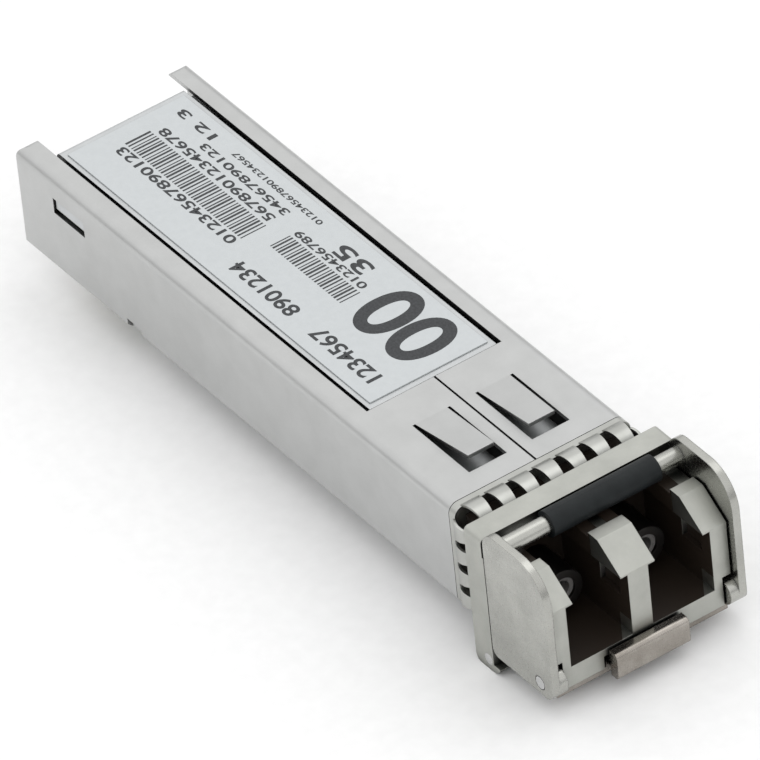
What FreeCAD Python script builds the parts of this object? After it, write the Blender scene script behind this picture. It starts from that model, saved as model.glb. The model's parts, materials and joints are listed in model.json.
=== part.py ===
import FreeCAD, Part
import math
import os

# Pluggable optical transceiver module with two LC ports, in millimetres.
# Built from the rear end: +X runs to the ports, +Z to the label, Y across, Z = 0 on the body's bottom face.
# Every piece is moved at the end, so that the origin lies under the module's middle, on its lowest level.

V = FreeCAD.Vector

# ---- body and wrapped sheet-metal shell ----
body_width = 13.4
body_height = 8.5
body_length = 46.9          # rear skirt to the spring collar
bottom_chamfer = 1.1
top_bend_radius = 0.7
sheet = 0.3
rail_width = 1.55           # top of the shell beside the label
rail_length = body_length - 10.7          # behind it the top is open, ahead of it the two flaps meet
seam_gap = 0.14
skirt_corner_radius = 0.45
bottom_opening = 10.6       # length of the open bottom at the board's edge contacts
edge_notch_length = 1.6
edge_notch_height = 0.45
edge_notch_lead = 0.7
snug = 0.05                 # assembly gap between sheet and castings
over = 1.0                  # how far a cutting shape runs past the faces it cuts

# ---- lanced spring tabs in the top flaps ----
tab_root = body_length - 7.7
tab_length = 5.2
tab_inner = 1.15
tab_width = 2.5
tab_taper = 0.35
tab_rise = 0.55
tab_side_gap = 0.18
tab_front_gap = 0.8
tab_pocket_depth = 1.0

# ---- snap windows at the rear of the sides ----
window_start = 3.9
window_length = 3.4
window_bottom = 5.65
window_height = 1.2
lug_gap = 0.15
lug_lower_gap = 0.35
lug_recess = 0.12

# ---- cover and tray ----
cover_rear = 1.9
cover_slit = 0.30           # between the raised centre and the rails
cover_slit_depth = 0.8
cover_edge_radius = 0.45
cover_plate = 0.45
cover_flange = 0.6
cover_flange_drop = 1.95
cover_flange_setback = 0.3
tray_floor = 0.85
tray_wall = 0.7
shoulder_above_board = 2.0
label_margin = 0.35
pad_rise = 0.2              # of the cover's middle between the rails, above the sheet's underside
pad_front_gap = 0.12
label_front = body_length - 11.3
label_thickness = 0.08

# ---- circuit board ----
board_rear = 3.2
board_front = body_length - 8.5
board_underside = 2.25
board_thickness = 1.0
tongue_width = 9.2
board_side_gap = 0.1
contact_count = 10
contact_pitch = 0.8
contact_width = 0.6
contact_length = 3.4
contact_setback = 0.3
contact_thickness = 0.04
board_screw_x = (13.6, board_front - 2.4)
board_screw_radius = 0.5
board_screw_head_radius = 0.85
board_screw_head_height = 0.45
board_screw_overhang = 0.1  # of the head past the board's edge
screw_hole_gap = 0.1
ledge_width = 1.4

# ---- optics ----
port_pitch = 6.25
optic_height = 3.75
can_rear = body_length - 6.6
can_length = 3.7
can_radius = 2.3
stem_radius = 2.5
stem_thickness = 0.5
neck_radius = 1.75
flange_radius = 2.05
flange_thickness = 1.1
barrel_radius = 1.5
barrel_front = body_length + 6.5
sleeve_radius = 0.95
ferrule_radius = 0.625
ferrule_gap = 0.01
ferrule_depth = 5.0
ferrule_stop = 1.0          # solid length of the sleeve behind the ferrule's seat
sleeve_setback = 0.2
clamp_thickness = 0.6
clamp_screw_radius = 0.45
clamp_screw_head = 0.85
clamp_screw_head_height = 0.5
clamp_screw_end_wall = 0.6  # of the nose ahead of the screw's tip
flex_thickness = 0.15
flex_width = 3.2
flex_overlap = 1.6
lead_radius = 0.2
lead_circle = 1.2
lead_count = 4
lead_length = 0.5

# ---- spring-finger collar ----
collar_length = 2.6
collar_band = 0.6
collar_sheet = 0.18
finger_width = 1.4
finger_bulge = 0.26
finger_dip = 0.35
finger_tip_width = 0.85
top_finger_pitch = 1.8
top_finger_count = 7
side_finger_pitch = 1.75
side_finger_count = 4
side_finger_first = 1.8
side_finger_gap = 0.4       # bare groove ahead of the tips on the long sides
bottom_finger_places = (2.9, 4.65)
groove_depth = 0.85

# ---- nose with the two ports ----
nose_front = body_length + 10.3
nose_half_width = 7.4
nose_top = 8.85
nose_bottom = -0.1
nose_edge_radius = 0.35
top_plate_front = body_length + 4.4
top_plate = 0.95
port_back = body_length + 3.3
port_width = 4.7
port_floor = 1.4
port_roof = 6.1
slot_width = 3.65
catch_rear = body_length + 7.3
catch_length = 2.0
catch_bottom = 4.0
catch_depth = 0.35
saddle_front = body_length + 7.1
saddle_level = 7.45
wall_top = 7.8              # side walls and divider ahead of the bail's bar
slope_start = body_length + 8.1
slope_end_level = 6.2
lever_recess_half = 3.05
lever_recess_roof = 0.85

# ---- bail ----
arm_thickness = 0.55
arm_gap = 0.1
arm_rear_gap = 0.08
arm_rear = body_length + 4.6
arm_front = body_length + 10.95
arm_top = 9.8
arm_corner_radius = 2.6
arm_rear_corner = 0.6
arm_rear_top_radius = 1.2
bail_pivot_x = body_length + 9.6
bail_pivot_z = 0.75
lobe_radius = 0.9
ear_thickness = 1.2
ear_gap = 0.1
lobe_room = 0.15
pivot_pin_radius = 0.45
pivot_pin_inner = 3.4
running_gap = 0.05
bar_x = body_length + 5.5
bar_z = 8.5
bar_radius = 0.6
grip_radius = 0.9
grip_half_length = 4.1
grip_shift = 0.9            # the sleeve has slid towards +Y along the bar
grip_wall = 0.5

# ---- latch lever ----
lever_pin_x = body_length + 4
lever_pin_z = -0.9
lever_pin_radius = 0.4
knuckle_radius = 0.75
lug_front = body_length + 5.3
lug_inner = 4.8
lug_bottom = -1.7
lug_corner_radius = 1.0
lever_sheet = 0.55
lever_level = 0.1
lever_rear = body_length - 5
lever_rear_half = 1.5
lever_front_half = 2.75
lever_side_gap = 0.25
lever_lift_room = 1.40      # roof of the channel over the rear arm
tunnel_wall = 0.3
boss_front = body_length - 1.9           # latching shoulder, measured from the rear skirt
boss_length = 2.6
boss_half_width = 1.3
boss_drop = 0.45
wing_rear = body_length + 8.8
wing_length = 1.2
wing_half = 6.5
wing_thickness = 0.45
wing_gap = 0.15
lip_gap = 0.2
lip_depth = 0.8
lip_top = 1.3
lip_bottom = -0.65
lip_radius = 0.35
spring_wire_radius = 0.1
spring_pitch = 0.3
spring_turns = 3.25
spring_long_leg = 5.2
spring_short_leg = 0.6
spring_leg_rise = 6.0       # degrees

# ---- screws that join the tray to the nose ----
nose_screw_x = body_length - 2.3
nose_screw_y = 4.85
nose_screw_radius = 0.35
nose_screw_head = 0.65
nose_screw_head_depth = 0.35
nose_screw_length = 0.95
nose_screw_hole_room = 0.55
tongue_rear = body_length - 3.5
tongue_inner = 4.35
tongue_thickness = 0.5
recess_reach = 0.6          # cross recess of every screw, as shares of the head's radius and height
recess_half_width = 0.15
recess_depth = 0.5

# ---- chips on the board ----
controller_x = 25.0
controller_size = 5.0
controller_height = 0.9
thermal_pad_thickness = 0.5
small_chip_x = 32.6
small_chip_size = 3.0
small_chip_height = 0.75
memory_x = 17.2
memory_length = 3.0
memory_width = 4.4
memory_height = 1.1
memory_leg_count = 4        # on each side
memory_leg_length = 0.8
memory_leg_width = 0.3
memory_leg_height = 0.3
passive_length = 1.0
passive_width = 0.5
capacitor_height = 0.5
resistor_height = 0.32
inductor_x = 19.3
inductor_y = 4.2
inductor_length = 2.0
inductor_width = 1.4
inductor_height = 1.3
absorber_thickness = 0.5
absorber_margin = 1.0
thermal_pad_margin = 0.25
capacitor_places = ((21.0, 1.2), (21.0, 2.6), (29.2, 2.4), (29.2, 3.8), (35.6, 1.0), (14.0, 1.4))
resistor_places = ((22.0, 4.0), (24.0, 4.0), (26.0, 4.0), (28.0, 0.9), (30.0, 0.9), (14.0, 2.6))

# ---- worked out from the sizes above ----
half = body_width / 2
shell_inside = half - sheet
cast_half = shell_inside - snug
rail_edge = half - rail_width
pad_half = rail_edge - cover_slit
cover_top = body_height - sheet
pad_level = cover_top + pad_rise
flange_level = cover_top - cover_slit_depth
cover_bottom = flange_level - cover_plate
cast_front = body_length - snug
tray_inside = cast_half - tray_wall
board_half = tray_inside - board_side_gap
board_top = board_underside + board_thickness
screw_y = board_half - board_screw_head_radius + board_screw_overhang
pad_top = board_top + controller_height + thermal_pad_thickness
tray_bottom = sheet + snug
floor_top = tray_bottom + tray_floor
seat_rear = body_length + snug
nose_rear = seat_rear + collar_length
sleeve_rear = barrel_front - ferrule_depth - ferrule_stop
port_centres = (-port_pitch / 2, port_pitch / 2)
flange_rear = seat_rear - flange_thickness
clamp_rear = flange_rear - clamp_thickness
arm_outer = nose_half_width
arm_inner = arm_outer - arm_thickness
nose_side = arm_inner - arm_gap
ear_inner = arm_outer - ear_thickness
ear_notch = ear_inner - ear_gap
lobe_x = arm_front - lobe_radius
lobe_reach = lobe_x - bail_pivot_x + lobe_radius
lever_top = lever_level + lever_sheet
channel_half = lever_rear_half + lever_side_gap
wing_top = bail_pivot_z - lobe_radius - wing_gap
lip_front = nose_front + lip_gap + lip_depth
origin_shift = V(-lip_front / 2, 0, -lug_bottom)


def box(x0, x1, y0, y1, z0, z1):
    return Part.makeBox(x1 - x0, y1 - y0, z1 - z0, V(x0, y0, z0))


def centred_box(x0, x1, half_width, z0, z1):
    return box(x0, x1, -half_width, half_width, z0, z1)


def rod_x(radius, x0, x1, y, z):
    return Part.makeCylinder(radius, x1 - x0, V(x0, y, z), V(1, 0, 0))


def rod_y(radius, y0, y1, x, z):
    return Part.makeCylinder(radius, y1 - y0, V(x, y0, z), V(0, 1, 0))


def rod_z(radius, z0, z1, x, y):
    return Part.makeCylinder(radius, z1 - z0, V(x, y, z0), V(0, 0, 1))


def prism_y(outline, y0, y1):
    """Solid of an outline of (x, z) points between two Y levels."""
    points = [V(x, y0, z) for x, z in outline]
    face = Part.Face(Part.makePolygon(points + points[:1]))
    return face.extrude(V(0, y1 - y0, 0))


def prism_x(outline, x0, x1):
    """Solid of an outline of (y, z) points between two X levels."""
    points = [V(x0, y, z) for y, z in outline]
    face = Part.Face(Part.makePolygon(points + points[:1]))
    return face.extrude(V(x1 - x0, 0, 0))


def mirrored(shape):
    return shape.mirror(V(0, 0, 0), V(0, 1, 0))


def pair(shape):
    return [shape, mirrored(shape)]


def fused(shapes):
    return shapes[0].multiFuse(shapes[1:]).removeSplitter()


def without(shape, tools):
    return shape.cut(Part.makeCompound(tools)).removeSplitter()


def edges_along(shape, axis, places):
    """Edges along an axis whose middle lies at one of the places, given in the other two axes."""
    others = [a for a in "xyz" if a != axis]
    found = []
    for edge in shape.Edges:
        if len(edge.Vertexes) != 2:
            continue
        run = edge.Vertexes[1].Point - edge.Vertexes[0].Point
        if abs(getattr(run, axis)) < 0.999 * run.Length or run.Length == 0:
            continue
        middle = edge.CenterOfMass
        for place in places:
            if all(abs(getattr(middle, a) - p) < 0.001 for a, p in zip(others, place)):
                found.append(edge)
    return found


def rounded(shape, radius, axis, places):
    return shape.makeFillet(radius, edges_along(shape, axis, places))


def body_section(inset, x0, x1):
    """Length of the body's cross-section, drawn in by an inset on every side."""
    shift = inset * math.tan(math.radians(22.5))
    side = half - inset
    foot = half - bottom_chamfer - shift
    knee = bottom_chamfer + shift
    top = body_height - inset
    outline = [(-foot, inset), (foot, inset), (side, knee), (side, top), (-side, top), (-side, knee)]
    solid = prism_x(outline, x0, x1)
    radius = top_bend_radius - inset
    if radius > 0.05:
        solid = rounded(solid, radius, "x", [(side, top), (-side, top)])
    return solid


def shell():
    wrap = without(body_section(0, 0, body_length), [body_section(sheet, -over, body_length + over)])
    under_top = body_height - 2 * sheet
    notch_x = bottom_opening + edge_notch_lead
    notch_top = bottom_chamfer + edge_notch_height
    tab_end = tab_root + tab_length
    cuts = [
        centred_box(-over, rail_length, rail_edge, under_top, body_height + over),
        centred_box(0, body_length + over, seam_gap / 2, under_top, body_height + over),
        centred_box(-over, bottom_opening, half + over, -over, bottom_chamfer),
        centred_box(lever_rear - lever_side_gap, body_length + over, channel_half, -over, 2 * sheet),
    ]
    for side in (-1, 1):
        y0, y1 = sorted((side * (shell_inside - snug), side * (half + snug)))
        cuts.append(box(window_start, window_start + window_length, y0, y1,
                        window_bottom, window_bottom + window_height))
        cuts.append(box(notch_x, notch_x + edge_notch_length, y0, y1, 0, notch_top))
        y0, y1 = sorted((side * (tab_inner - tab_side_gap), side * (tab_inner + tab_width + tab_side_gap)))
        cuts.append(box(tab_root, tab_end + tab_front_gap, y0, y1, under_top, body_height + over))
    corner = centred_box(-over, skirt_corner_radius, half + over, body_height - skirt_corner_radius,
                         body_height + over)
    cuts.append(corner.cut(rod_y(skirt_corner_radius, -half - over, half + over,
                                 skirt_corner_radius, body_height - skirt_corner_radius)))
    wrap = without(wrap, cuts)
    return fused([wrap] + pair(spring_tab()))


def spring_tab():
    """Tongue cut from the top flap, rooted at the rear, narrowing and rising towards its free front end."""
    end = tab_root + tab_length
    low = body_height - sheet
    root = tab_root - sheet
    side = prism_y([(root, low), (tab_root, low), (end, low + tab_rise), (end, low + tab_rise + sheet),
                    (tab_root, body_height), (root, body_height)], tab_inner, tab_inner + tab_width)
    outer = tab_inner + tab_width
    plan = [V(root, tab_inner, 0), V(end, tab_inner + tab_taper / 2, 0), V(end, outer - tab_taper, 0),
            V(root, outer, 0)]
    plan_solid = Part.Face(Part.makePolygon(plan + plan[:1])).extrude(V(0, 0, 2 * body_height))
    return side.common(plan_solid)


def cover():
    plate = centred_box(cover_rear, cast_front, cast_half, cover_bottom, flange_level)
    pad = centred_box(cover_rear, cast_front, pad_half, flange_level, cover_top)
    raised = centred_box(cover_rear, rail_length - pad_front_gap, pad_half, flange_level, pad_level)
    raised = rounded(raised, cover_edge_radius, "y", [(cover_rear, pad_level)])
    pad = pad.cut(centred_box(cover_rear, rail_length - pad_front_gap, pad_half + over, flange_level, cover_top + over))
    flange_end = bottom_opening - snug
    flange_low = cover_bottom - cover_flange_drop
    flange = box(cover_rear + cover_flange_setback, flange_end, cast_half - cover_flange, cast_half,
                 flange_low, cover_bottom)
    lug = box(window_start + lug_gap, window_start + window_length - lug_gap, cast_half, half - lug_recess,
              window_bottom + lug_lower_gap, window_bottom + window_height - lug_gap)
    shoulder = centred_box(bottom_opening + snug, bottom_opening + tray_wall, board_half,
                           board_top + shoulder_above_board, cover_bottom)
    heat_boss = centred_box(controller_x - controller_size / 2, controller_x + controller_size / 2,
                            controller_size / 2, pad_top, cover_bottom)
    body = fused([plate, pad, raised, shoulder, heat_boss] + pair(flange) + pair(lug))
    pocket = box(tab_root, tab_root + tab_length + tab_front_gap, tab_inner - tab_side_gap,
                 tab_inner + tab_width + tab_side_gap, cover_top - tab_pocket_depth, cover_top + over)
    return without(body, pair(pocket))


def label():
    return centred_box(cover_rear + cover_edge_radius + label_margin, label_front, pad_half - label_margin,
                       pad_level, pad_level + label_thickness)


def tray():
    outside = body_section(tray_bottom, bottom_opening + snug, cast_front)
    hollow = centred_box(0, body_length + over, tray_inside, floor_top, body_height)
    above = centred_box(0, body_length + over, body_width, cover_bottom, body_height)
    trough = without(outside, [hollow, above])
    ledge = box(bottom_opening + snug, board_front, tray_inside - ledge_width, tray_inside,
                floor_top, board_underside)
    channel_rear = lever_rear - lever_side_gap
    tunnel = centred_box(channel_rear - tunnel_wall, cast_front, channel_half + tunnel_wall,
                         tray_bottom, lever_lift_room + tunnel_wall)
    body = fused([trough, tunnel] + pair(ledge))
    cuts = [centred_box(channel_rear, body_length + over, channel_half, -over, lever_lift_room)]
    for x in board_screw_x:
        cuts += pair(rod_z(board_screw_radius, 0, board_top, x, screw_y))
    cuts += pair(rod_z(nose_screw_radius, -over, floor_top + over, nose_screw_x, nose_screw_y))
    head_seat = tray_bottom + nose_screw_head_depth
    cuts += pair(rod_z(nose_screw_head, -over, head_seat, nose_screw_x, nose_screw_y))
    return without(body, cuts)


def circuit_board():
    main = centred_box(bottom_opening + 2 * snug, board_front, board_half, board_underside, board_top)
    tongue = centred_box(board_rear, bottom_opening + over, tongue_width / 2, board_underside, board_top)
    holes = []
    for x in board_screw_x:
        holes += pair(rod_z(board_screw_radius + screw_hole_gap, 0, body_height, x, screw_y))
    return without(fused([main, tongue]), holes)


def edge_contacts(z0):
    pads = []
    first = -(contact_count - 1) / 2 * contact_pitch
    for i in range(contact_count):
        y = first + i * contact_pitch
        x = board_rear + contact_setback
        pads.append(box(x, x + contact_length, y - contact_width / 2, y + contact_width / 2,
                        z0, z0 + contact_thickness))
    return Part.makeCompound(pads)


def on_board(x, y, length, width, height):
    return box(x - length / 2, x + length / 2, y - width / 2, y + width / 2, board_top, board_top + height)


def memory_chip():
    body = on_board(memory_x, 0, memory_length, memory_width, memory_height)
    legs = []
    leg_y = (memory_width + memory_leg_length) / 2
    pitch = memory_length / memory_leg_count
    for i in range(memory_leg_count):
        x = memory_x + (i - (memory_leg_count - 1) / 2) * pitch
        legs += pair(on_board(x, leg_y, memory_leg_width, memory_leg_length, memory_leg_height))
    return fused([body] + legs)


def capacitors():
    chips = []
    for x, y in capacitor_places:
        chips += pair(on_board(x, y, passive_length, passive_width, capacitor_height))
    return Part.makeCompound(chips)


def resistors():
    chips = []
    for x, y in resistor_places:
        chips += pair(on_board(x, y, passive_width, passive_length, resistor_height))
    return Part.makeCompound(chips)


def inductors():
    return Part.makeCompound(pair(on_board(inductor_x, inductor_y, inductor_length, inductor_width,
                                           inductor_height)))


def screw_z(x, y, radius, head_radius, head_thickness, z_low, z_head):
    """Screw along Z whose head stands on z_head, with a cross recess."""
    top = z_head + head_thickness
    body = fused([rod_z(radius, z_low, z_head, x, y), rod_z(head_radius, z_head, top, x, y)])
    arm = recess_reach * head_radius
    slot = recess_half_width * head_radius
    deep = top - recess_depth * head_thickness
    return without(body, [box(x - arm, x + arm, y - slot, y + slot, deep, top + over),
                          box(x - slot, x + slot, y - arm, y + arm, deep, top + over)])


def board_screws():
    screws = []
    for x in board_screw_x:
        screws += pair(screw_z(x, screw_y, board_screw_radius, board_screw_head_radius,
                               board_screw_head_height, floor_top, board_top))
    return Part.makeCompound(screws)


def nose_screws():
    """Two countersunk screws from below, through the tray's floor into the nose's tongues."""
    seat = tray_bottom + nose_screw_head_depth
    one = screw_z(nose_screw_x, nose_screw_y, nose_screw_radius, nose_screw_head, nose_screw_head_depth,
                  -seat - nose_screw_length, -seat)
    one.rotate(V(nose_screw_x, nose_screw_y, 0), V(1, 0, 0), 180)
    return Part.makeCompound(pair(one))


def optic_can(y):
    z = optic_height
    stem = rod_x(stem_radius, can_rear, can_rear + stem_thickness, y, z)
    can = rod_x(can_radius, can_rear, can_rear + can_length, y, z)
    return fused([stem, can])


def optic_neck(y):
    return rod_x(neck_radius, can_rear + can_length, flange_rear, y, optic_height)


def optic_barrel(y):
    z = optic_height
    body = fused([rod_x(flange_radius, flange_rear, seat_rear, y, z),
                  rod_x(barrel_radius, flange_rear, barrel_front, y, z)])
    return without(body, [rod_x(sleeve_radius, sleeve_rear, barrel_front + over, y, z)])


def ferrule_sleeve(y):
    z = optic_height
    body = rod_x(sleeve_radius, sleeve_rear, barrel_front - sleeve_setback, y, z)
    return without(body, [rod_x(ferrule_radius + ferrule_gap, barrel_front - ferrule_depth,
                                barrel_front + over, y, z)])


def optic_flex(y):
    """Bent flexible circuit from the board's top to the back of a can, with holes for the can's leads."""
    z = optic_height
    pad = centred_box(can_rear - flex_thickness, can_rear, flex_width / 2, z - can_radius, z + can_radius)
    run = centred_box(board_front - flex_overlap, can_rear, flex_width / 2, board_top,
                      board_top + flex_thickness)
    body = fused([pad, run]).translated(V(0, y, 0))
    holes = [rod_x(lead_radius, can_rear - over, can_rear, ly, lz) for ly, lz in lead_places(y)]
    return without(body, holes)


def lead_places(y):
    places = []
    for i in range(lead_count):
        angle = math.radians(45 + i * 360 / lead_count)
        places.append((y + lead_circle * math.cos(angle), optic_height + lead_circle * math.sin(angle)))
    return places


def optic_leads(y):
    return Part.makeCompound([rod_x(lead_radius, can_rear - flex_thickness - lead_length, can_rear, ly, lz)
                              for ly, lz in lead_places(y)])


def optics_clamp():
    """Stamped plate that holds the two barrels' flanges against the nose."""
    plate = centred_box(clamp_rear, flange_rear, tray_inside - board_side_gap,
                        lever_lift_room + tunnel_wall + snug, cover_bottom - 2 * snug)
    rear, front = clamp_rear - over, flange_rear + over
    holes = [rod_x(neck_radius + snug, rear, front, y, optic_height) for y in port_centres]
    holes.append(rod_x(clamp_screw_radius, rear, front, 0, optic_height))
    return without(plate, holes)


def clamp_screw():
    tip = clamp_rear - nose_rear + clamp_screw_end_wall
    one = screw_z(0, 0, clamp_screw_radius, clamp_screw_head, clamp_screw_head_height, tip, 0)
    one.rotate(V(0, 0, 0), V(0, 1, 0), -90)
    return one.translated(V(clamp_rear, 0, optic_height))


def absorber():
    return centred_box(can_rear, clamp_rear - absorber_margin, tray_inside - absorber_margin,
                       cover_bottom - absorber_thickness, cover_bottom)


def thermal_pad():
    size = controller_size / 2 - thermal_pad_margin
    return centred_box(controller_x - size, controller_x + size, size,
                       board_top + controller_height, pad_top)


def finger(across, length_start, length_end, level):
    """Spring finger along X: rooted on the band, bowed outwards, narrowing to a tip that dips inwards."""
    rise = level + finger_bulge
    middle = (length_start + length_end) / 2
    outer = Part.Arc(V(length_start, 0, level), V(middle, 0, rise), V(length_end, 0, level - finger_dip))
    inner = Part.Arc(V(length_end, 0, level - finger_dip - collar_sheet), V(middle, 0, rise - collar_sheet),
                     V(length_start, 0, level - collar_sheet))
    ends = [Part.LineSegment(outer.EndPoint, inner.StartPoint),
            Part.LineSegment(inner.EndPoint, outer.StartPoint)]
    wire = Part.Wire([outer.toShape(), ends[0].toShape(), inner.toShape(), ends[1].toShape()])
    strip = Part.Face(wire).extrude(V(0, finger_width, 0)).translated(V(0, -finger_width / 2, 0))
    low = level - body_height
    plan = [V(length_start, -finger_width / 2, low), V(length_end, -finger_tip_width / 2, low),
            V(length_end, finger_tip_width / 2, low), V(length_start, finger_width / 2, low)]
    taper = Part.Face(Part.makePolygon(plan + plan[:1])).extrude(V(0, 0, 2 * body_height))
    return strip.common(taper).translated(V(0, across, 0))


def emi_collar():
    band = without(body_section(0, seat_rear, seat_rear + collar_band),
                   [body_section(collar_sheet, seat_rear - over, seat_rear + collar_band + over)])
    start = seat_rear + collar_band - collar_sheet
    end = nose_rear - snug
    pieces = [band]
    for i in range(top_finger_count):
        across = (i - (top_finger_count - 1) / 2) * top_finger_pitch
        pieces.append(finger(across, start, end, body_height))
    for i in range(side_finger_count):
        height = side_finger_first + i * side_finger_pitch
        side = finger(0, start, end - side_finger_gap, half)
        side.rotate(V(0, 0, 0), V(1, 0, 0), -90)
        pieces += pair(side.translated(V(0, 0, height)))
    for across in bottom_finger_places:
        low = finger(across, start, end, 0)
        low.rotate(V(0, across, 0), V(1, 0, 0), 180)
        pieces += pair(low)
    body = fused(pieces)
    return without(body, [centred_box(seat_rear - over, nose_rear, channel_half, lug_bottom, over)])


def nose():
    land = body_section(collar_sheet, seat_rear, seat_rear + collar_band)
    neck = body_section(groove_depth, seat_rear, nose_rear)
    block = centred_box(nose_rear, nose_front, nose_half_width, nose_bottom, nose_top)
    tongue = box(tongue_rear, seat_rear, tongue_inner, tray_inside - board_side_gap, floor_top,
                 floor_top + tongue_thickness)
    lug = box(nose_rear, lug_front, lug_inner, nose_half_width, lug_bottom, nose_bottom)
    lug = rounded(lug, lug_corner_radius, "y", [(lug_front, lug_bottom)])
    lug = rounded(lug, lug_corner_radius / 2, "y", [(nose_rear, lug_bottom)])
    corners = [(nose_half_width, nose_top), (-nose_half_width, nose_top)]
    block = rounded(block, nose_edge_radius, "x", corners)
    body = fused([land, neck, block] + pair(tongue) + pair(lug))
    top = nose_top + 1
    cuts = [
        centred_box(top_plate_front, saddle_front, nose_half_width + over, saddle_level, top),
        prism_y([(saddle_front - over, top), (saddle_front - over, wall_top), (slope_start, wall_top),
                 (nose_front, slope_end_level), (nose_front + over, slope_end_level),
                 (nose_front + over, top)],
                -nose_half_width - over, nose_half_width + over),
        centred_box(seat_rear - over, port_back - tunnel_wall, channel_half, lug_bottom - over,
                    lever_lift_room),
        centred_box(nose_rear - over, nose_front + over, lever_recess_half, lug_bottom - over,
                    lever_recess_roof),
        rod_y(lever_pin_radius, -nose_half_width - over, nose_half_width + over, lever_pin_x, lever_pin_z),
        rod_x(clamp_screw_radius, 0, nose_rear - clamp_screw_end_wall, 0, optic_height),
    ]
    for y in port_centres:
        cuts.append(box(port_back, nose_front + over, y - port_width / 2, y + port_width / 2,
                        port_floor, port_roof))
        cuts.append(box(port_back, top_plate_front + snug, y - slot_width / 2, y + slot_width / 2,
                        port_roof - snug, nose_top - top_plate))
        cuts.append(box(top_plate_front, nose_front + over, y - slot_width / 2, y + slot_width / 2,
                        port_roof - snug, top))
        cuts.append(box(catch_rear, catch_rear + catch_length, y - port_width / 2 - catch_depth,
                        y + port_width / 2 + catch_depth, catch_bottom, port_roof))
        cuts.append(rod_x(barrel_radius, seat_rear - over, port_back + over, y, optic_height))
    side_cut = box(arm_rear - arm_rear_gap, nose_front + over, nose_side, nose_half_width + over,
                   nose_bottom - over, top)
    notch_radius = lobe_reach + lobe_room
    notch = fused([rod_y(notch_radius, ear_notch, nose_half_width, bail_pivot_x, bail_pivot_z),
                   box(bail_pivot_x - notch_radius, nose_front + over, ear_notch, nose_half_width,
                       nose_bottom - over, bail_pivot_z)])
    pin_hole = rod_y(pivot_pin_radius, pivot_pin_inner, nose_half_width, bail_pivot_x, bail_pivot_z)
    screw_hole = rod_z(nose_screw_radius, 0, floor_top + tongue_thickness + nose_screw_hole_room,
                       nose_screw_x, nose_screw_y)
    cuts += pair(side_cut) + pair(notch) + pair(pin_hole) + pair(screw_hole)
    return without(body, cuts)


def bail():
    """Handle: a plate arm on each side of the nose, joined by a bar in the saddle over the ports."""
    arm = box(arm_rear, arm_front, arm_inner, arm_outer, nose_bottom, arm_top)
    arm = rounded(arm, arm_corner_radius, "y", [(arm_front, arm_top)])
    arm = rounded(arm, arm_rear_top_radius, "y", [(arm_rear, arm_top)])
    arm = rounded(arm, arm_rear_corner, "y", [(arm_rear, nose_bottom)])
    below = box(lobe_x, arm_front + over, arm_inner - over, arm_outer + over, nose_bottom - over,
                bail_pivot_z)
    arm = arm.cut(below)
    lobe = rod_y(lobe_radius, ear_inner, arm_outer, lobe_x, bail_pivot_z)
    middle = (arm_inner + arm_outer) / 2
    shoulders = [rod_y(bar_radius, -middle, grip_shift - grip_half_length, bar_x, bar_z),
                 rod_y(bar_radius, grip_shift + grip_half_length, middle, bar_x, bar_z)]
    core = rod_y(grip_radius - grip_wall, -arm_inner, arm_inner, bar_x, bar_z)
    body = fused([core] + pair(arm) + pair(lobe) + shoulders)
    hole = rod_y(pivot_pin_radius + running_gap, ear_inner - over, arm_outer + over,
                 bail_pivot_x, bail_pivot_z)
    return without(body, pair(hole))


def bail_sleeve():
    outside = rod_y(grip_radius, grip_shift - grip_half_length, grip_shift + grip_half_length, bar_x, bar_z)
    return without(outside, [rod_y(grip_radius - grip_wall, -arm_outer, arm_outer, bar_x, bar_z)])


def bail_pivot():
    return rod_y(pivot_pin_radius, pivot_pin_inner, arm_outer, bail_pivot_x, bail_pivot_z)


def latch_lever():
    rear_arm = centred_box(lever_rear, lever_pin_x, lever_rear_half, lever_level, lever_top)
    boss_rear = boss_front - boss_length
    boss = prism_y([(boss_rear, lever_level), (boss_rear + boss_drop + lever_level, -boss_drop),
                    (boss_front, -boss_drop), (boss_front, lever_level)], -boss_half_width, boss_half_width)
    knuckle = rod_y(knuckle_radius, -lever_front_half, lever_front_half, lever_pin_x, lever_pin_z)
    web = centred_box(lever_pin_x - knuckle_radius, lever_pin_x + knuckle_radius, lever_front_half,
                      lever_pin_z, lever_top)
    front_arm = centred_box(lever_pin_x, nose_front + 2 * lip_gap, lever_front_half, lever_level, lever_top)
    wing_end = wing_rear + wing_length
    wing = centred_box(wing_rear, wing_end, wing_half, wing_top - wing_thickness, wing_top)
    wing_web = centred_box(wing_rear, wing_end, lever_front_half, wing_top - wing_thickness, lever_top)
    lip = centred_box(nose_front + lip_gap, lip_front, lever_front_half, lip_bottom, lip_top)
    lip = rounded(lip, lip_radius, "y", [(lip_front, lip_bottom), (lip_front, lip_top)])
    body = fused([rear_arm, boss, knuckle, web, front_arm, wing, wing_web, lip])
    return without(body, [rod_y(lever_pin_radius + running_gap, -body_width, body_width,
                                lever_pin_x, lever_pin_z)])


def lever_pin():
    return rod_y(lever_pin_radius, -nose_half_width, nose_half_width, lever_pin_x, lever_pin_z)


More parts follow.
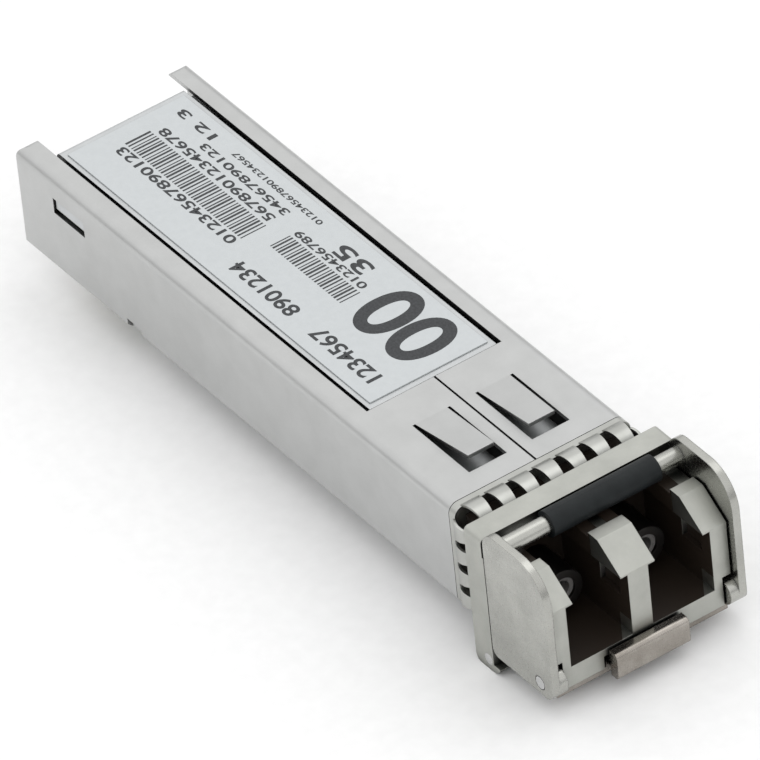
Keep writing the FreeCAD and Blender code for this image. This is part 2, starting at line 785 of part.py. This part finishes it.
def lever_spring():
    """Torsion spring coiled on the pin beside the knuckle, with a long leg forward and a short one up."""
    coil_radius = lever_pin_radius + 1.5 * running_gap + spring_wire_radius
    leg_radius = 1.1 * spring_wire_radius
    sink = 0.3 * spring_wire_radius
    width = spring_pitch * spring_turns
    start = V(coil_radius, 0, 0)
    section = Part.Wire([Part.makeCircle(spring_wire_radius, start, V(0, 1, 0))])
    path = Part.Wire(Part.makeHelix(spring_pitch, width, coil_radius).Edges)
    coil = path.makePipeShell([section], True, True)
    long_leg = Part.makeCylinder(leg_radius, spring_long_leg, start + V(0, sink, 0), V(0, -1, 0))
    short_leg = Part.makeCylinder(leg_radius, spring_short_leg, V(sink, coil_radius, width), V(-1, 0, 0))
    spring = coil.multiFuse([long_leg, short_leg]).Solids[0]
    spring.rotate(V(0, 0, 0), V(1, 0, 0), -90)
    spring.rotate(V(0, 0, 0), V(0, 1, 0), 90 - spring_leg_rise)
    beside_knuckle = lever_front_half + 2 * spring_wire_radius + running_gap
    return spring.translated(V(lever_pin_x, beside_knuckle, lever_pin_z))


parts = {
    "sheet_metal_shell": shell(),
    "top_cover": cover(),
    "label_plate": label(),
    "base_tray": tray(),
    "nose_housing": nose(),
    "emi_spring_collar": emi_collar(),
    "bail_handle": bail(),
    "bail_grip_sleeve": bail_sleeve(),
    "bail_pivot_left": mirrored(bail_pivot()),
    "bail_pivot_right": bail_pivot(),
    "latch_lever": latch_lever(),
    "lever_pin": lever_pin(),
    "lever_spring": lever_spring(),
    "circuit_board": circuit_board(),
    "edge_contacts_top": edge_contacts(board_top),
    "edge_contacts_bottom": edge_contacts(board_underside - contact_thickness),
    "controller_chip": on_board(controller_x, 0, controller_size, controller_size, controller_height),
    "memory_chip": memory_chip(),
    "laser_driver_chip": on_board(small_chip_x, port_centres[0], small_chip_size, small_chip_size,
                                  small_chip_height),
    "amplifier_chip": on_board(small_chip_x, port_centres[1], small_chip_size, small_chip_size,
                               small_chip_height),
    "capacitors": capacitors(),
    "resistors": resistors(),
    "inductors": inductors(),
    "board_screws": board_screws(),
    "nose_screws": nose_screws(),
    "optics_clamp": optics_clamp(),
    "clamp_screw": clamp_screw(),
    "absorber_pad": absorber(),
    "thermal_pad": thermal_pad(),
}
for channel, y in zip(("transmitter", "receiver"), port_centres):
    parts[channel + "_can"] = optic_can(y)
    parts[channel + "_neck"] = optic_neck(y)
    parts[channel + "_barrel"] = optic_barrel(y)
    parts[channel + "_ferrule_sleeve"] = ferrule_sleeve(y)
    parts[channel + "_flex_circuit"] = optic_flex(y)
    parts[channel + "_leads"] = optic_leads(y)

os.makedirs("parts", exist_ok=True)
for name, shape in parts.items():
    shape.translated(origin_shift).exportStep("parts/" + name + ".step")
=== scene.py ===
import json
import math

import bpy
from mathutils import Matrix, Vector


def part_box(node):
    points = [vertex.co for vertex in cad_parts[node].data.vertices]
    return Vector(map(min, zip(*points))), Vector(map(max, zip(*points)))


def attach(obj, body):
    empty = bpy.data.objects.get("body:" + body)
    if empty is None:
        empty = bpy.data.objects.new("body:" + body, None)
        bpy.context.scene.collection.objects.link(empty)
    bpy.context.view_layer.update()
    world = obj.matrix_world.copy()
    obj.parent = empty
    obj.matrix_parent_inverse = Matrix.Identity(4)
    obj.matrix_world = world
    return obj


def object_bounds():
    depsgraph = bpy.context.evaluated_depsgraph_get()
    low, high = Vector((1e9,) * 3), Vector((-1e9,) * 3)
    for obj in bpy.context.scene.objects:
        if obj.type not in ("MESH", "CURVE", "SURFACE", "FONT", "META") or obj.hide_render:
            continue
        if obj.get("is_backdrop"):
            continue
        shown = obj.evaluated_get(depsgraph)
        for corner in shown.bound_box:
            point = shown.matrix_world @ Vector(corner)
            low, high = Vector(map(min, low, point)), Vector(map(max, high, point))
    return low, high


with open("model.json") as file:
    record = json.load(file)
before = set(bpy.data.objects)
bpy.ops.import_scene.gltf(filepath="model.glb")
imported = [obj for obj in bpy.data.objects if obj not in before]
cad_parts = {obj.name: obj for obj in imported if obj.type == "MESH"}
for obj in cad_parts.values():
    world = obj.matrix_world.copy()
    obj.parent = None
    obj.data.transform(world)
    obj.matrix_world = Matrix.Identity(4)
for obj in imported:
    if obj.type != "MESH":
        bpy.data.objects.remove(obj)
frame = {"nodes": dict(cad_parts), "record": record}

MM = 0.001


def save_size(name, store={}):
    lo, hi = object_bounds()
    store[name] = [list(lo), list(hi)]


save_size("loaded")

# ---------------------------------------------------------------- camera
AZIMUTH = 58.3              # degrees round the object, 0 looks along +Y
ELEVATION = 39.0            # degrees above the floor
ROLL = -6.2                 # degrees
DISTANCE = 1.0              # metres
LENS = 759.7                # millimetres
SENSOR = 36.0               # millimetres across
CLIP = (0.05, 20.0)         # metres
AIM = Vector((0.42, 0.17, 5.7)) * MM


def make_camera():
    a, e = math.radians(AZIMUTH), math.radians(ELEVATION)
    back = Vector((math.sin(a) * math.cos(e), -math.cos(a) * math.cos(e), math.sin(e)))
    data = bpy.data.cameras.new("view")
    data.lens = LENS
    data.sensor_width = SENSOR
    data.clip_start, data.clip_end = CLIP
    camera = bpy.data.objects.new("view", data)
    bpy.context.scene.collection.objects.link(camera)
    camera.rotation_mode = "QUATERNION"
    turn = (-back).to_track_quat("-Z", "Y")
    roll = Matrix.Rotation(math.radians(ROLL), 4, "Z").to_quaternion()
    camera.rotation_quaternion = turn @ roll
    camera.location = AIM + back * DISTANCE
    bpy.context.scene.camera = camera


# ---------------------------------------------------------------- node materials
COLOUR_A, COLOUR_B = 6, 7   # colour sockets of a Mix node
COLOUR_RESULT = 2
BEVEL_SAMPLES = 4
SHADE_SAMPLES = 4
DEEP, OPEN = 0.30, 0.85     # openness at which the painted crevice shade is darkest, and from which nothing is darkened


class Nodes:
    """Small helper that adds and links shader nodes."""

    def __init__(self, name):
        self.material = bpy.data.materials.new(name)
        self.material.use_nodes = True
        self.tree = self.material.node_tree
        self.tree.nodes.clear()
        self.out = self.tree.nodes.new("ShaderNodeOutputMaterial")
        self.shader = self.tree.nodes.new("ShaderNodeBsdfPrincipled")
        self.tree.links.new(self.shader.outputs[0], self.out.inputs["Surface"])
        self.place = self.tree.nodes.new("ShaderNodeTexCoord").outputs["Object"]

    def link(self, a, b):
        self.tree.links.new(a, b)

    def value(self, socket, value):
        """Puts a number or colour on a socket, or links another socket to it."""
        if isinstance(value, bpy.types.NodeSocket):
            self.link(value, socket)
        else:
            socket.default_value = value

    def noise(self, scale, detail=3.0, rough=0.55, stretch=(1, 1, 1)):
        mapping = self.tree.nodes.new("ShaderNodeMapping")
        mapping.inputs["Scale"].default_value = stretch
        self.link(self.place, mapping.inputs["Vector"])
        node = self.tree.nodes.new("ShaderNodeTexNoise")
        node.inputs["Scale"].default_value = scale
        node.inputs["Detail"].default_value = detail
        node.inputs["Roughness"].default_value = rough
        self.link(mapping.outputs[0], node.inputs["Vector"])
        return node.outputs["Fac"]

    def ramp(self, fac, low, high, start=0.3, end=0.7):
        node = self.tree.nodes.new("ShaderNodeMapRange")
        node.inputs["From Min"].default_value = start
        node.inputs["From Max"].default_value = end
        node.inputs["To Min"].default_value = low
        node.inputs["To Max"].default_value = high
        self.link(fac, node.inputs["Value"])
        return node.outputs[0]

    def mix(self, fac, a, b):
        node = self.tree.nodes.new("ShaderNodeMix")
        node.data_type = "RGBA"
        self.value(node.inputs["Factor"], fac)
        self.value(node.inputs[COLOUR_A], a)
        self.value(node.inputs[COLOUR_B], b)
        return node.outputs[COLOUR_RESULT]

    def math(self, kind, a, b=0.0):
        node = self.tree.nodes.new("ShaderNodeMath")
        node.operation = kind
        self.value(node.inputs[0], a)
        self.value(node.inputs[1], b)
        return node.outputs[0]

    def bump(self, height, distance, strength=1.0, edge=0.0):
        node = self.tree.nodes.new("ShaderNodeBump")
        node.inputs["Distance"].default_value = distance
        node.inputs["Strength"].default_value = strength
        self.link(height, node.inputs["Height"])
        if edge:
            bevel = self.tree.nodes.new("ShaderNodeBevel")
            bevel.samples = BEVEL_SAMPLES
            bevel.inputs["Radius"].default_value = edge
            self.link(bevel.outputs[0], node.inputs["Normal"])
        self.link(node.outputs[0], self.shader.inputs["Normal"])

    def paint_crevice_shade(self, reach, darkest):
        """Paints shade: darkens the base colour where surfaces close in on each other."""
        node = self.tree.nodes.new("ShaderNodeAmbientOcclusion")
        node.samples = SHADE_SAMPLES
        node.inputs["Distance"].default_value = reach
        depth = self.ramp(node.outputs["AO"], darkest, 1.0, DEEP, OPEN)
        base = self.shader.inputs["Base Color"]
        plain = base.links[0].from_socket
        mixed = self.tree.nodes.new("ShaderNodeMix")
        mixed.data_type = "RGBA"
        mixed.blend_type = "MULTIPLY"
        mixed.inputs["Factor"].default_value = 1.0
        self.link(plain, mixed.inputs[COLOUR_A])
        self.link(depth, mixed.inputs[COLOUR_B])
        self.link(mixed.outputs[COLOUR_RESULT], base)

    def paint_shade(self, mask, colour):
        """Paints shade: replaces the base colour where the mask is 1."""
        base = self.shader.inputs["Base Color"]
        plain = base.links[0].from_socket
        self.link(self.mix(mask, plain, rgb(*colour)), base)

    def xyz(self, vector):
        node = self.tree.nodes.new("ShaderNodeSeparateXYZ")
        self.link(vector, node.inputs[0])
        return node.outputs

    def facing(self):
        """Direction that each flat face points in, as x, y and z."""
        geometry = self.tree.nodes.new("ShaderNodeNewGeometry")
        return self.xyz(geometry.outputs["True Normal"])


def rgb(r, g, b):
    return (r, g, b, 1.0)


BRUSHED = (1, 12, 12)       # stretches the grain along X
CLOUD_SCALE = 500.0
CREVICE_SHADE_TONE = 0.06         # share of the colour that the painted shade leaves in the deepest crevices
GLOSS_SPREAD = 0.08         # unevenness of a metal's roughness
METAL_BUMP = 0.35           # strength of the grain
PLASTIC_SPREAD = 0.12
PLASTIC_BUMP = 0.5
PLASTIC_DEPTH = 0.006       # millimetres
PLASTIC_EDGE = 0.05         # millimetres


def metal(name, light, dark, roughness, grain=(1, 1, 1), grain_scale=9000.0, depth=0.002, edge=0.06,
          reach=1.0):
    """Satin metal: cloudy tone, uneven roughness, fine grain, soft edges and painted shade in its crevices
    (sizes in mm).
    """
    n = Nodes(name)
    clouds = n.noise(CLOUD_SCALE, 4.0)
    n.link(n.mix(n.ramp(clouds, 0.0, 1.0), rgb(*dark), rgb(*light)), n.shader.inputs["Base Color"])
    n.shader.inputs["Metallic"].default_value = 1.0
    fine = n.noise(grain_scale, 2.0, 0.6, grain)
    smooth, coarse = roughness - GLOSS_SPREAD / 2, roughness + GLOSS_SPREAD / 2
    n.link(n.ramp(fine, smooth, coarse), n.shader.inputs["Roughness"])
    n.bump(fine, depth * MM, METAL_BUMP, edge * MM)
    # painted shade darkens the colour in crevices
    n.paint_crevice_shade(reach * MM, CREVICE_SHADE_TONE)
    return n


def plastic(name, light, dark, roughness, scale=3000.0, sheen=0.5):
    """Moulded, coated or ceramic surface with a fine grain."""
    n = Nodes(name)
    tone = n.noise(scale / 6, 3.0)
    n.link(n.mix(n.ramp(tone, 0.0, 1.0), rgb(*dark), rgb(*light)), n.shader.inputs["Base Color"])
    n.shader.inputs["Specular IOR Level"].default_value = sheen
    fine = n.noise(scale, 3.0)
    smooth, coarse = roughness - PLASTIC_SPREAD / 2, roughness + PLASTIC_SPREAD / 2
    n.link(n.ramp(fine, smooth, coarse), n.shader.inputs["Roughness"])
    n.bump(fine, PLASTIC_DEPTH * MM, PLASTIC_BUMP, PLASTIC_EDGE * MM)
    return n


# painted shade: near-black colour inside the ports where shadow falls
PORT_SHADE_TONE = (0.020, 0.014, 0.010)

# how far the painted shade of a port reaches past its opening's box, and where it stops, in millimetres
PORT_PAST_SIDE = 0.45
PORT_PAST_FLOOR = 0.06
PORT_PAST_ROOF = 0.05
PORT_BARE_MOUTH = 0.10      # bare metal at the front edge
LATCH_SLOT_SETBACK = 3.4    # the slot over a port gets painted shade behind this
LATCH_SLOT_RISE = 1.7
CORNER_LENGTH = 1.7         # lit wedge left without painted shade in the corner of a port's mouth: along X, along Y and up
CORNER_WIDTH = 1.1
CORNER_HEIGHT = 1.0
CORNER_PAST_MOUTH = 0.1
CORNER_PAST_SIDE = 0.05

FACES_FORWARD = 0.3         # a face whose direction has more than this share forward gets no painted shade


def port_shade_mask(n, low, high, place, not_forward):
    """1 on the surfaces in and over one port that get painted shade, whose opening's box is low to high."""
    x, y, z = place
    middle = (low[1] + high[1]) / 2
    half = (high[1] - low[1]) / 2 + PORT_PAST_SIDE * MM
    inside = n.math("LESS_THAN", n.math("ABSOLUTE", n.math("SUBTRACT", y, middle)), half)
    above = n.math("GREATER_THAN", z, low[2] - PORT_PAST_FLOOR * MM)
    below = n.math("LESS_THAN", z, high[2] + PORT_PAST_ROOF * MM)
    behind = n.math("LESS_THAN", x, high[0] - PORT_BARE_MOUTH * MM)
    port = n.math("MULTIPLY", n.math("MULTIPLY", behind, not_forward), below)
    deep = n.math("LESS_THAN", x, high[0] - LATCH_SLOT_SETBACK * MM)
    slot = n.math("MULTIPLY", deep, n.math("LESS_THAN", z, high[2] + LATCH_SLOT_RISE * MM))
    dark = n.math("MULTIPLY", n.math("MULTIPLY", inside, above), n.math("MAXIMUM", port, slot))
    ahead = n.math("SUBTRACT", high[0] + CORNER_PAST_MOUTH * MM, x)
    aside = n.math("SUBTRACT", high[1] + CORNER_PAST_SIDE * MM, y)
    along = n.math("DIVIDE", ahead, CORNER_LENGTH * MM)
    across = n.math("MAXIMUM", n.math("DIVIDE", aside, CORNER_WIDTH * MM), 0.0)
    lit_wedge = n.math("LESS_THAN", n.math("ADD", along, across), 1.0)
    lit_wedge = n.math("MULTIPLY", lit_wedge, n.math("LESS_THAN", z, low[2] + CORNER_HEIGHT * MM))
    return n.math("MULTIPLY", dark, n.math("SUBTRACT", 1.0, lit_wedge))


def nose_casting():
    """Blasted cast metal with painted shade inside the two ports, left out of a lit corner at each port's
    mouth.
    """
    light, dark = (0.48, 0.485, 0.45), (0.41, 0.415, 0.385)
    n = metal("nose_casting", light, dark, 0.40, grain_scale=7000.0, depth=0.004)
    ports = [opening["box_m"] for opening in frame["record"]["physics"]["openings"]]
    place = n.xyz(n.place)
    not_forward = n.math("LESS_THAN", n.facing()[0], FACES_FORWARD)
    masks = [port_shade_mask(n, low, high, place, not_forward) for low, high in ports]
    mask = n.math("MAXIMUM", *masks)
    n.paint_shade(mask, PORT_SHADE_TONE)
    # the painted shade in the ports is not metallic, so it shows no reflections
    n.link(n.math("SUBTRACT", 1.0, mask), n.shader.inputs["Metallic"])
    return n


# painted shadow on the slit walls beside the label
SLIT_SHADE_TONE = (0.018, 0.018, 0.018)
SLIT_REACH = 1.3            # millimetres below the top of the cover
FACES_ACROSS = 0.7          # a face whose direction has more than this share across is a slit's wall


def cover_casting():
    """Cast cover whose slit walls, facing across the body, lie in shadow."""
    n = metal("cover_casting", (0.60, 0.615, 0.62), (0.54, 0.555, 0.56), 0.40, depth=0.004)
    across = n.math("GREATER_THAN", n.math("ABSOLUTE", n.facing()[1]), FACES_ACROSS)
    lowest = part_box("top_cover")[1].z - SLIT_REACH * MM
    near_top = n.math("GREATER_THAN", n.xyz(n.place)[2], lowest)
    # painted shadow on the slit walls
    n.paint_shade(n.math("MULTIPLY", across, near_top), SLIT_SHADE_TONE)
    return n


def label_film():
    """Pale satin film under the label's print."""
    n = Nodes("label_film")
    fibre = n.noise(2500.0, 3.0)
    n.link(n.mix(n.ramp(fibre, 0.0, 1.0), rgb(0.52, 0.545, 0.555), rgb(0.55, 0.575, 0.585)),
           n.shader.inputs["Base Color"])
    n.link(n.ramp(fibre, 0.42, 0.55), n.shader.inputs["Roughness"])
    n.bump(fibre, 0.002 * MM, 0.4)
    return n


def print_ink():
    """Dark grey print, a little worn."""
    n = Nodes("print_ink")
    wear = n.noise(6000.0, 3.0)
    n.link(n.mix(n.ramp(wear, 0.0, 1.0), rgb(0.020, 0.022, 0.024), rgb(0.045, 0.048, 0.052)),
           n.shader.inputs["Base Color"])
    n.shader.inputs["Roughness"].default_value = 0.6
    return n


# slot: light tone, dark tone, roughness, and what differs from a plain metal
METALS = {
    "shell_steel": ((0.53, 0.535, 0.53), (0.49, 0.495, 0.49), 0.36,
                    {"grain": BRUSHED, "grain_scale": 3000.0}),
    "spring_steel": ((0.49, 0.495, 0.47), (0.42, 0.425, 0.40), 0.32,
                     {"grain": BRUSHED, "grain_scale": 3000.0, "edge": 0.03}),
    "tray_casting": ((0.60, 0.61, 0.60), (0.52, 0.53, 0.52), 0.42, {"depth": 0.004}),
    "bail_metal": ((0.47, 0.47, 0.44), (0.38, 0.38, 0.355), 0.26, {"edge": 0.12, "reach": 0.3}),
    "pin_steel": ((0.66, 0.66, 0.66), (0.56, 0.56, 0.56), 0.25, {}),
    "lever_steel": ((0.44, 0.41, 0.375), (0.30, 0.275, 0.245), 0.26, {"edge": 0.1}),
    "spring_wire": ((0.55, 0.55, 0.55), (0.45, 0.45, 0.45), 0.25, {}),
    "gold_contacts": ((0.80, 0.58, 0.24), (0.72, 0.50, 0.20), 0.25, {}),
    "screw_steel": ((0.55, 0.55, 0.56), (0.45, 0.45, 0.46), 0.28, {}),
    "clamp_steel": ((0.60, 0.60, 0.60), (0.52, 0.52, 0.52), 0.32, {}),
    "can_metal": ((0.70, 0.62, 0.44), (0.62, 0.54, 0.38), 0.25, {}),
    "neck_metal": ((0.62, 0.62, 0.62), (0.54, 0.54, 0.54), 0.25, {}),
    # barrel_metal is far darker than bare metal: painted shade for the barrels deep in the ports
    "barrel_metal": ((0.05, 0.047, 0.045), (0.035, 0.032, 0.03), 0.40, {}),
}

# slot: light tone, dark tone, roughness, and what differs from a plain plastic
PLASTICS = {
    "grip_black": ((0.010, 0.013, 0.014), (0.006, 0.008, 0.009), 0.50, {"scale": 6000.0, "sheen": 0.25}),
    "board_green": ((0.018, 0.105, 0.040), (0.012, 0.080, 0.030), 0.30, {}),
    "chip_black": ((0.022, 0.022, 0.024), (0.014, 0.014, 0.015), 0.50, {}),
    "capacitor_tan": ((0.34, 0.22, 0.12), (0.28, 0.18, 0.10), 0.45, {}),
    "resistor_black": ((0.020, 0.020, 0.020), (0.012, 0.012, 0.012), 0.35, {}),
    "inductor_grey": ((0.060, 0.060, 0.062), (0.045, 0.045, 0.046), 0.45, {}),
    "absorber_rubber": ((0.020, 0.020, 0.021), (0.013, 0.013, 0.014), 0.70, {}),
    "thermal_rubber": ((0.22, 0.30, 0.40), (0.18, 0.25, 0.34), 0.65, {}),
    # sleeve_ceramic is grey rather than white: painted shade for the sleeves deep in the ports
    "sleeve_ceramic": ((0.20, 0.19, 0.185), (0.15, 0.145, 0.14), 0.30, {}),
    "flex_amber": ((0.45, 0.18, 0.03), (0.36, 0.14, 0.02), 0.35, {}),
}


def make_finishes():
    finishes = {"nose_casting": nose_casting(), "cover_casting": cover_casting(), "label_white": label_film()}
    for slot, (light, dark, roughness, extras) in METALS.items():
        finishes[slot] = metal(slot, light, dark, roughness, **extras)
    for slot, (light, dark, roughness, extras) in PLASTICS.items():
        finishes[slot] = plastic(slot, light, dark, roughness, **extras)
    return finishes


def finish_nodes():
    finishes = make_finishes()
    for part in frame["record"]["subparts"]:
        node = frame["nodes"][part["node"]]
        node.data.materials.clear()
        node.data.materials.append(finishes[part["material_slot"]].material)


# ---------------------------------------------------------------- printing on the label
GLYPH_WEIGHT = 0.022        # thickens the digits, as a share of the type size
PRINT_LIFT = 0.004          # millimetres above the label
BAR_PITCH = 0.30
THINNEST_BAR = 0.32         # shares of the pitch
BAR_SPREAD = 0.30
BAR_WIDTHS = 5              # different widths, taken in steps of BAR_STEP
BAR_STEP = 7


def add_print(name, mesh, ink):
    mesh.materials.clear()
    mesh.materials.append(ink)
    piece = bpy.data.objects.new(name, mesh)
    bpy.context.scene.collection.objects.link(piece)
    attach(piece, "module")


def number(name, text, x, baseline, height, length, ink, level):
    """Digits that read towards the rear, their tops towards -Y, fitted to a height and a length."""
    curve = bpy.data.curves.new(name + "_curve", "FONT")
    curve.body = text
    curve.offset = GLYPH_WEIGHT
    source = bpy.data.objects.new(name + "_curve", curve)
    bpy.context.scene.collection.objects.link(source)
    mesh = bpy.data.meshes.new_from_object(source.evaluated_get(bpy.context.evaluated_depsgraph_get()))
    bpy.data.objects.remove(source)
    right = max(v.co.x for v in mesh.vertices)
    top = max(v.co.y for v in mesh.vertices)
    for v in mesh.vertices:
        v.co = Vector((x - v.co.x / right * length, baseline - v.co.y / top * height, level))
    add_print(name, mesh, ink)


def bars(name, x, length, low, high, ink, level):
    """A block of plain bars across the label, whose widths follow each other in a fixed order."""
    pitch = BAR_PITCH * MM
    points = []
    faces = []
    for i in range(int(length / pitch)):
        wide = pitch * (THINNEST_BAR + BAR_SPREAD * ((i * BAR_STEP) % BAR_WIDTHS) / (BAR_WIDTHS - 1))
        front = x - i * pitch
        rear = front - wide
        base = len(points)
        points += [(front, low, level), (rear, low, level), (rear, high, level), (front, high, level)]
        faces.append((base + 3, base + 2, base + 1, base))
    mesh = bpy.data.meshes.new(name)
    mesh.from_pydata(points, [], faces)
    mesh.update()
    add_print(name, mesh, ink)


# name, digits, start behind the label's front edge, baseline across, height, length, in millimetres
NUMBER_ROWS = (
    ("print_large", "00", 1.2, 3.8, 4.7, 6.9),
    ("print_front_row", "1234567", 1.2, -2.4, 1.15, 6.9),
    ("print_middle_row", "8901234", 10.2, -2.4, 1.10, 6.6),
    ("print_pair", "35", 10.4, 3.5, 1.20, 3.4),
    ("print_middle_digits", "0123456789", 9.4, 2.15, 0.60, 7.4),
    ("print_rear_row_a", "01234567890123", 18.6, -1.35, 0.75, 12.6),
    ("print_rear_row_b", "56789012345678", 18.8, 1.75, 0.70, 12.2),
    ("print_rear_row_c", "34567890123", 18.6, 2.75, 0.60, 9.4),
    ("print_fine_row", "012345678901234567", 16.4, 3.70, 0.42, 9.6),
    ("print_rear_digits", "12 3", 27.6, 3.75, 0.70, 4.2),
)

# name, start behind the label's front edge, length, low and high edge across, in millimetres
BAR_ROWS = (
    ("print_bars_middle", 9.2, 8.0, -0.20, 1.35),
    ("print_bars_rear", 18.6, 13.0, -1.15, 0.80),
)


def print_label():
    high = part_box("label_plate")[1]
    level = high.z + PRINT_LIFT * MM
    ink = print_ink().material
    for name, text, start, baseline, height, length in NUMBER_ROWS:
        number(name, text, high.x - start * MM, baseline * MM, height * MM, length * MM, ink, level)
    for name, start, length, low, top in BAR_ROWS:
        bars(name, high.x - start * MM, length * MM, low * MM, top * MM, ink, level)


# ---------------------------------------------------------------- studio
FLOOR_REACH = 4.0           # metres to each side
HORIZON = 0.45              # brightness of the surroundings at the floor's edge
ZENITH = 1.15               # brightness from FULL_RISE upwards
FULL_RISE = 0.45            # height of a direction one unit long
LAMP_PLACE = Vector((-0.05, 0.15, 0.5))      # metres
LAMP_SIDE = 0.30            # metres
LAMP_POWER = 0.22           # watts


def add_floor():
    n = Nodes("floor_paper")
    fibre = n.noise(900.0, 3.0)
    tone = n.mix(n.ramp(fibre, 0.0, 1.0), rgb(0.90, 0.90, 0.90), rgb(0.93, 0.93, 0.93))
    n.link(tone, n.shader.inputs["Base Color"])
    n.shader.inputs["Roughness"].default_value = 0.9
    n.shader.inputs["Specular IOR Level"].default_value = 0.1
    side = FLOOR_REACH
    mesh = bpy.data.meshes.new("floor")
    corners = [(-side, -side, 0), (side, -side, 0), (side, side, 0), (-side, side, 0)]
    mesh.from_pydata(corners, [], [(0, 1, 2, 3)])
    mesh.materials.append(n.material)
    floor = bpy.data.objects.new("floor", mesh)
    bpy.context.scene.collection.objects.link(floor)
    floor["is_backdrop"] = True


def add_surroundings():
    """White surroundings that grow brighter with height."""
    world = bpy.data.worlds.new("studio")
    bpy.context.scene.world = world
    world.use_nodes = True
    tree = world.node_tree
    place = tree.nodes.new("ShaderNodeTexCoord")
    axes = tree.nodes.new("ShaderNodeSeparateXYZ")
    tree.links.new(place.outputs["Generated"], axes.inputs[0])
    rise = tree.nodes.new("ShaderNodeMapRange")
    rise.inputs["From Min"].default_value = 0.0
    rise.inputs["From Max"].default_value = FULL_RISE
    rise.inputs["To Min"].default_value = HORIZON
    rise.inputs["To Max"].default_value = ZENITH
    tree.links.new(axes.outputs["Z"], rise.inputs["Value"])
    shade = tree.nodes["Background"]
    shade.inputs["Color"].default_value = rgb(1, 1, 1)
    tree.links.new(rise.outputs[0], shade.inputs["Strength"])


def add_lamp():
    """A weak soft lamp over the far side, turned to the object."""
    data = bpy.data.lights.new("softbox_top", "AREA")
    data.shape = "RECTANGLE"
    data.size = data.size_y = LAMP_SIDE
    data.energy = LAMP_POWER
    light = bpy.data.objects.new("softbox_top", data)
    light.location = LAMP_PLACE
    light.rotation_mode = "QUATERNION"
    light.rotation_quaternion = (-LAMP_PLACE).to_track_quat("-Z", "Y")
    bpy.context.scene.collection.objects.link(light)


def studio():
    add_floor()
    add_surroundings()
    add_lamp()
    view = bpy.context.scene.view_settings
    view.view_transform = "Standard"
    view.look = "None"
    view.exposure = 0.0


make_camera()
finish_nodes()
print_label()
studio()
save_size("finished")
